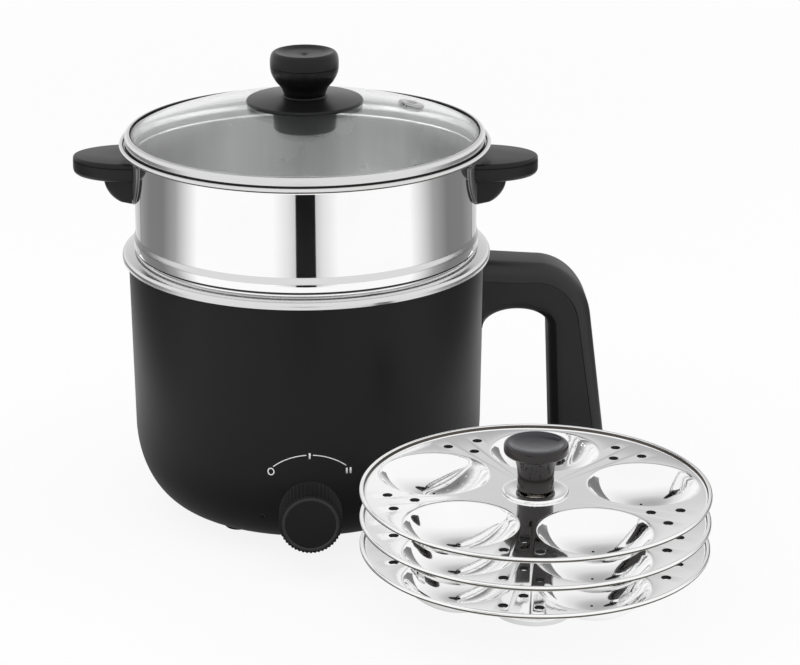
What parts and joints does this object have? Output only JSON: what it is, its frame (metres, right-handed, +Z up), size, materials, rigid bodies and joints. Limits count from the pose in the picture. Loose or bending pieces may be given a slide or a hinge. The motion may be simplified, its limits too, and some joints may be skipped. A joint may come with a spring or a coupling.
{
  "type": "electric multipurpose kettle",
  "caption": "Black electric multipurpose kettle with a steel steamer bowl, a domed glass lid, a rotary control, a side handle and a separate stand of idli plates.",
  "frame": {"origin": "on the kettle's axis, on the table that its feet stand on", "axes": "+Z up along the kettle's axis, +X towards the handle, -Y towards the front with the control knob"},
  "size_m": [0.2807, 0.2943, 0.2201],
  "materials": {
    "shell_black": "fine matte",
    "handle_black": "satin",
    "knob_black": "satin",
    "stand_knob_black": "glossy",
    "foot_rubber": "matte",
    "seal_rubber": "matte",
    "pot_steel": "satin polished",
    "bright_steel": "mirror polished",
    "screw_steel": "plain",
    "heater_aluminium": "cast",
    "element_steel": "oxidised",
    "switch_plastic": "moulded",
    "cream_plastic": "moulded",
    "lens_red": "tinted",
    "inlet_black": "moulded",
    "brass": "plain",
    "wire_brown": "silicone sleeve",
    "lid_glass": "clear"
  },
  "bodies": {
    "kettle": {"outer_shell": "shell_black", "base_cover": "shell_black", "base_screws": "screw_steel", "feet": "foot_rubber", "inner_pot": "pot_steel", "rim_seal": "seal_rubber", "heater_plate": "heater_aluminium", "heating_element": "element_steel", "thermostat": "cream_plastic", "thermal_fuse": "cream_plastic", "rotary_switch": "switch_plastic", "switch_nut": "screw_steel", "indicator_lens": "lens_red", "indicator_lamp": "cream_plastic", "handle_inner": "handle_black", "handle_cover": "handle_black", "handle_screws": "screw_steel", "power_inlet": "inlet_black", "inlet_pins": "brass", "inlet_screws": "screw_steel", "wiring": "wire_brown"},
    "control_knob": {"control_knob": "knob_black", "switch_shaft": "screw_steel"},
    "steamer": {"steamer_bowl": "bright_steel", "steamer_bracket_left": "bright_steel", "steamer_bracket_right": "bright_steel", "steamer_handle_left": "handle_black", "steamer_handle_right": "handle_black", "steamer_handle_screws": "screw_steel"},
    "lid": {"lid_glass": "lid_glass", "lid_band": "bright_steel", "lid_vent": "bright_steel", "lid_disc": "knob_black", "lid_knob": "knob_black", "lid_collar": "knob_black", "lid_screw": "screw_steel"},
    "idli_stand": {"stand_base": "bright_steel", "stand_post": "screw_steel", "idli_plate_bottom": "bright_steel", "idli_plate_middle": "bright_steel", "idli_plate_top": "bright_steel", "stand_spacers": "bright_steel", "stand_washer": "bright_steel"},
    "knob_insert": {"stand_knob_insert": "brass"},
    "stand_knob": {"stand_knob": "stand_knob_black"}
  },
  "joints": [
    {"name": "knob_turn", "type": "hinge", "parent": "kettle", "child": "control_knob", "pos_m": [0, -0.0836, 0.0285], "axis": [0, -1, 0], "range_deg": [-45, 45]},
    {"name": "steamer_lift", "type": "slide", "parent": "kettle", "child": "steamer", "axis": [0, 0, 1], "range_m": [0, 0.14]},
    {"name": "lid_lift", "type": "slide", "parent": "steamer", "child": "lid", "axis": [0, 0, 1], "range_m": [0, 0.12]},
    {"name": "stand_lift", "type": "slide", "parent": "kettle", "child": "idli_stand", "axis": [0, 0, 1], "range_m": [0, 0.12]},
    {"name": "stand_knob_rise", "type": "slide", "parent": "idli_stand", "child": "knob_insert", "axis": [0, 0, 1], "range_m": [0, 0.0051]},
    {"name": "stand_knob_turn", "type": "hinge", "parent": "knob_insert", "child": "stand_knob", "pos_m": [0.09697, -0.13201, 0.06], "axis": [0, 0, 1], "range_deg": [0, 1800]}
  ],
  "couplings": [
    {"joint": "stand_knob_rise", "follows": "stand_knob_turn", "m_per_rad": 0.00015915}
  ]
}
